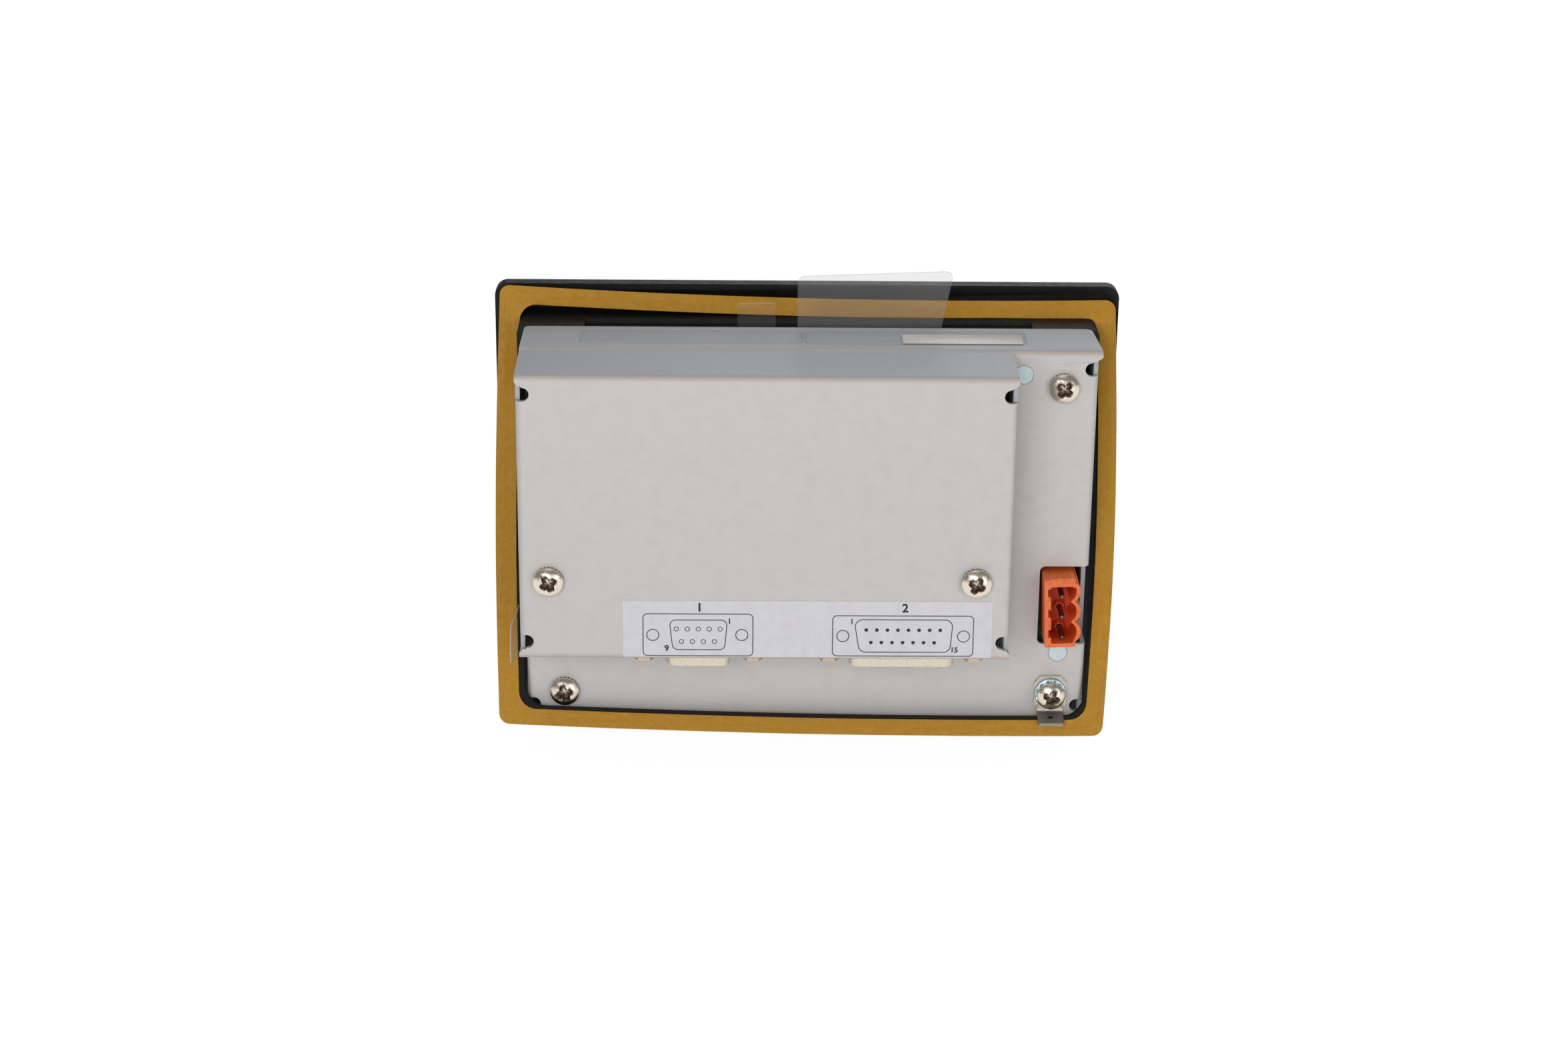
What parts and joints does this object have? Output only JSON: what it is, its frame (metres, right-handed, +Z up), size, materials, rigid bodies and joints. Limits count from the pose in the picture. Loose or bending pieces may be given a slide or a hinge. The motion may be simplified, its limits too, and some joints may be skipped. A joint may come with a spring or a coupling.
{
  "type": "hmi touch panel",
  "caption": "Panel-mount operator terminal: touch display and keys in a black bezel, with a two-step sheet-metal back, serial ports, a power header and a ground tab.",
  "frame": {"origin": "centre of the bezel's rear seat plane, the face that meets the cabinet door", "axes": "-Y out of the display towards the user, +Y towards the back, +Z up, +X to the user's right"},
  "size_m": [0.147, 0.0604, 0.1172],
  "materials": {
    "black_plastic": "matt moulded",
    "overlay_film": "fine satin film",
    "clear_film": "clear",
    "key_grey": "satin",
    "board_green": "solder mask",
    "touch_glass": "antiglare",
    "lcd_grey": "glossy",
    "diffuser_white": "matt",
    "plated_steel": "zinc plated",
    "nickel_screw": "bright nickel",
    "aluminium_sheet": "fine brushed",
    "tinned_brass": "tinned",
    "orange_plastic": "moulded",
    "yellow_zinc": "yellow chromate",
    "contact_gold": "polished",
    "insert_black": "moulded",
    "jack_metal": "chromated",
    "strip_film": "clear film",
    "foam_black": "closed-cell foam",
    "liner_paper": "release paper",
    "label_white": "matt",
    "label_film": "clear on metal",
    "chip_black": "moulded epoxy",
    "can_aluminium": "sleeved",
    "ferrite": "matt",
    "ribbon_white": "flat cable",
    "insulator_paper": "pressboard",
    "led_green": "diffused"
  },
  "bodies": {
    "case": {"front_housing": "black_plastic", "keypad_overlay": "overlay_film", "legend_windows": "clear_film", "snap_domes": "plated_steel", "keypad_board": "board_green", "status_leds": "led_green", "keypad_ribbon": "ribbon_white", "touch_sensor": "touch_glass", "lcd_frame": "plated_steel", "lcd_glass": "lcd_grey", "lcd_backlight": "diffuser_white", "lcd_board": "board_green", "base_cover": "aluminium_sheet", "port_cover": "aluminium_sheet", "base_cover_screws": "nickel_screw", "port_cover_screws": "nickel_screw", "ground_screw": "nickel_screw", "front_board_screws": "plated_steel", "main_board_screws": "plated_steel", "main_board": "board_green", "clinch_standoffs": "plated_steel", "board_chips": "chip_black", "smoothing_capacitors": "can_aluminium", "power_inductor": "ferrite", "board_link": "insert_black", "interface_board": "board_green", "insulator_sheet": "insulator_paper", "port_cover_posts": "plated_steel", "power_header": "orange_plastic", "power_pins": "tinned_brass", "ground_lug": "tinned_brass", "ground_washer": "plated_steel", "port_1_shell": "yellow_zinc", "port_1_insert": "insert_black", "port_1_contacts": "contact_gold", "port_2_shell": "yellow_zinc", "port_2_insert": "insert_black", "port_2_contacts": "contact_gold", "port_jackscrews": "jack_metal", "seal_foam": "foam_black", "seal_liner": "liner_paper", "rating_label": "label_film", "blank_sticker": "label_white", "port_label": "label_white"},
    "function_key_1": {"function_key_1": "key_grey"},
    "function_key_2": {"function_key_2": "key_grey"},
    "function_key_3": {"function_key_3": "key_grey"},
    "function_key_4": {"function_key_4": "key_grey"},
    "function_key_5": {"function_key_5": "key_grey"},
    "command_key_1": {"command_key_1": "key_grey"},
    "command_key_2": {"command_key_2": "key_grey"},
    "command_key_3": {"command_key_3": "key_grey"},
    "command_key_4": {"command_key_4": "key_grey"},
    "command_key_5": {"command_key_5": "key_grey"},
    "command_key_6": {"command_key_6": "key_grey"},
    "legend_strip_wide": {"legend_strip_wide": "strip_film"},
    "legend_strip_narrow": {"legend_strip_narrow": "strip_film"},
    "legend_strip_side": {"legend_strip_side": "strip_film"}
  },
  "joints": [
    {"name": "function_key_1_press", "type": "slide", "parent": "case", "child": "function_key_1", "axis": [0, 1, 0], "range_m": [0, 0.0004], "stiffness_N_per_m": 900},
    {"name": "function_key_2_press", "type": "slide", "parent": "case", "child": "function_key_2", "axis": [0, 1, 0], "range_m": [0, 0.0004], "stiffness_N_per_m": 900},
    {"name": "function_key_3_press", "type": "slide", "parent": "case", "child": "function_key_3", "axis": [0, 1, 0], "range_m": [0, 0.0004], "stiffness_N_per_m": 900},
    {"name": "function_key_4_press", "type": "slide", "parent": "case", "child": "function_key_4", "axis": [0, 1, 0], "range_m": [0, 0.0004], "stiffness_N_per_m": 900},
    {"name": "function_key_5_press", "type": "slide", "parent": "case", "child": "function_key_5", "axis": [0, 1, 0], "range_m": [0, 0.0004], "stiffness_N_per_m": 900},
    {"name": "command_key_1_press", "type": "slide", "parent": "case", "child": "command_key_1", "axis": [0, 1, 0], "range_m": [0, 0.0004], "stiffness_N_per_m": 900},
    {"name": "command_key_2_press", "type": "slide", "parent": "case", "child": "command_key_2", "axis": [0, 1, 0], "range_m": [0, 0.0004], "stiffness_N_per_m": 900},
    {"name": "command_key_3_press", "type": "slide", "parent": "case", "child": "command_key_3", "axis": [0, 1, 0], "range_m": [0, 0.0004], "stiffness_N_per_m": 900},
    {"name": "command_key_4_press", "type": "slide", "parent": "case", "child": "command_key_4", "axis": [0, 1, 0], "range_m": [0, 0.0004], "stiffness_N_per_m": 900},
    {"name": "command_key_5_press", "type": "slide", "parent": "case", "child": "command_key_5", "axis": [0, 1, 0], "range_m": [0, 0.0004], "stiffness_N_per_m": 900},
    {"name": "command_key_6_press", "type": "slide", "parent": "case", "child": "command_key_6", "axis": [0, 1, 0], "range_m": [0, 0.0004], "stiffness_N_per_m": 900},
    {"name": "legend_strip_wide_pull", "type": "slide", "parent": "case", "child": "legend_strip_wide", "axis": [0, 0.5878, 0.809], "range_m": [0, 0.008]},
    {"name": "legend_strip_narrow_pull", "type": "slide", "parent": "case", "child": "legend_strip_narrow", "axis": [0, 0.5878, 0.809], "range_m": [0, 0.008]},
    {"name": "legend_strip_side_pull", "type": "slide", "parent": "case", "child": "legend_strip_side", "axis": [0.0349, 0.9994, 0], "range_m": [0, 0.006]}
  ]
}
